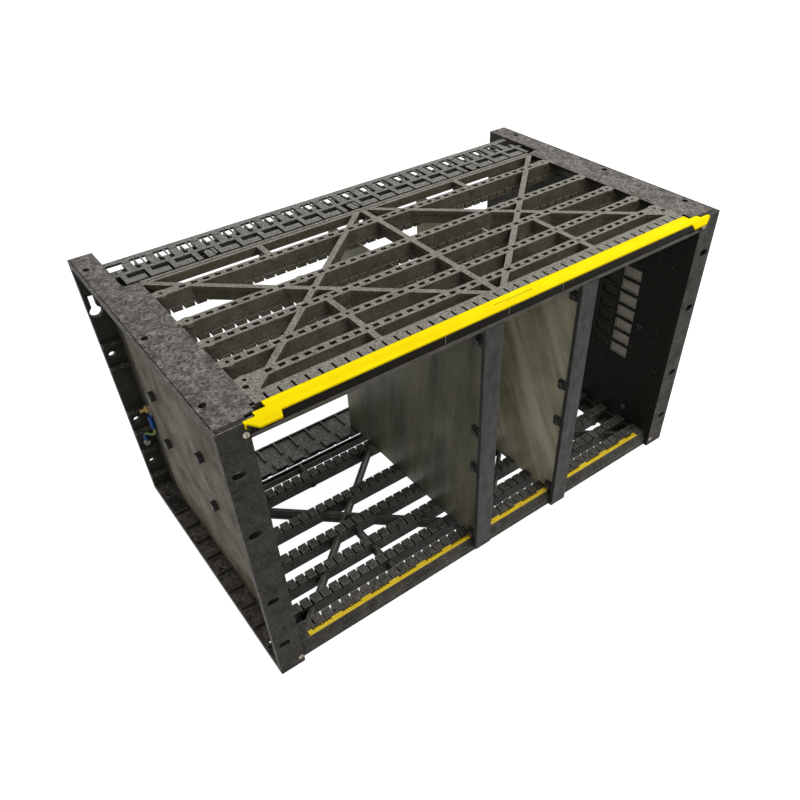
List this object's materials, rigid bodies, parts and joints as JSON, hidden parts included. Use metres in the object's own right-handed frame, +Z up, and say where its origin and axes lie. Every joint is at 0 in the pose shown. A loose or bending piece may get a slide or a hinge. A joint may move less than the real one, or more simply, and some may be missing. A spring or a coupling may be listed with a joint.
{
  "type": "subrack card cage",
  "caption": "Six-unit rack card cage: open front and back, moulded end frames, lattice trays with card guides above and below, two dividers and a yellow trim strip.",
  "frame": {"origin": "under the middle of the cage, midway between its front and rear faces, on the plane it stands on", "axes": "+X to the right seen from the front, +Y from front to back, +Z up"},
  "size_m": [0.4826, 0.287, 0.2659],
  "materials": {
    "frame_plastic": "grained black moulding",
    "side_plate_metal": "dull tan passivated sheet",
    "fastener_steel": "bright plated steel",
    "tray_plastic": "dark grey moulding, paler on worn faces",
    "comb_plastic": "dark grey moulding",
    "rail_plastic": "grey moulding",
    "title_black": "black strip",
    "trim_yellow": "bright yellow moulding",
    "number_yellow": "yellow strip with fine marks",
    "divider_metal": "dark olive brushed sheet",
    "post_black": "satin black",
    "corner_steel": "plated steel",
    "earth_brass": "brass",
    "terminal_tin": "tinned copper",
    "crimp_blue": "blue sleeve",
    "lead_insulation": "green sleeve with a yellow stripe"
  },
  "bodies": {
    "root": {"end_frame_left": "frame_plastic", "end_frame_right": "frame_plastic", "side_plate_left": "side_plate_metal", "side_plate_right": "side_plate_metal", "side_plate_rivets": "fastener_steel", "side_plate_lugs": "post_black", "top_card_tray": "tray_plastic", "bottom_card_tray": "tray_plastic", "top_cable_comb": "comb_plastic", "bottom_cable_comb": "comb_plastic", "label_rail": "rail_plastic", "title_strip": "title_black", "trim_strip": "trim_yellow", "number_strip_left": "number_yellow", "number_strip_middle": "number_yellow", "number_strip_right": "number_yellow", "divider_plate_a": "divider_metal", "divider_plate_b": "divider_metal", "divider_post_a": "post_black", "divider_post_b": "post_black", "divider_screws": "fastener_steel", "divider_nuts": "fastener_steel", "post_foot": "post_black", "corner_screws": "corner_steel", "earth_stud": "earth_brass", "earth_nut": "earth_brass", "earth_terminal": "terminal_tin", "earth_crimp": "crimp_blue", "earth_lead": "lead_insulation", "far_terminal": "terminal_tin", "far_crimp": "crimp_blue", "far_screw": "fastener_steel"}
  },
  "joints": []
}
